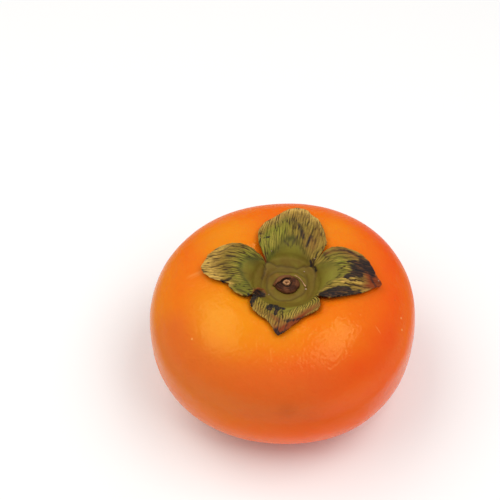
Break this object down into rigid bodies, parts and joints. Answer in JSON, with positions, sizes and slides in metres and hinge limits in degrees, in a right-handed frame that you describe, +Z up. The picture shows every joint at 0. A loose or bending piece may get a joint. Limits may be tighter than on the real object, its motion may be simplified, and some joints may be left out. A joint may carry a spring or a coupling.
{
  "type": "persimmon",
  "caption": "Squat orange persimmon as picked, with a four-lobed dried calyx on its crown and the stub of its stalk, standing on the small flat of its blossom end.",
  "frame": {"origin": "on the surface that the fruit rests on, under the middle of its outline", "axes": "+Z up through the crown and the stalk, -Y towards the calyx's shortest lobe, +X to the right of it seen from the front"},
  "size_m": [0.0815, 0.0774, 0.0536],
  "materials": {
    "skin": null,
    "calyx": null,
    "stalk": "dark brown corky stalk scar with a pale woody ring"
  },
  "bodies": {
    "root": {"fruit": "skin", "calyx": "calyx", "stalk_stub": "stalk"}
  },
  "joints": []
}
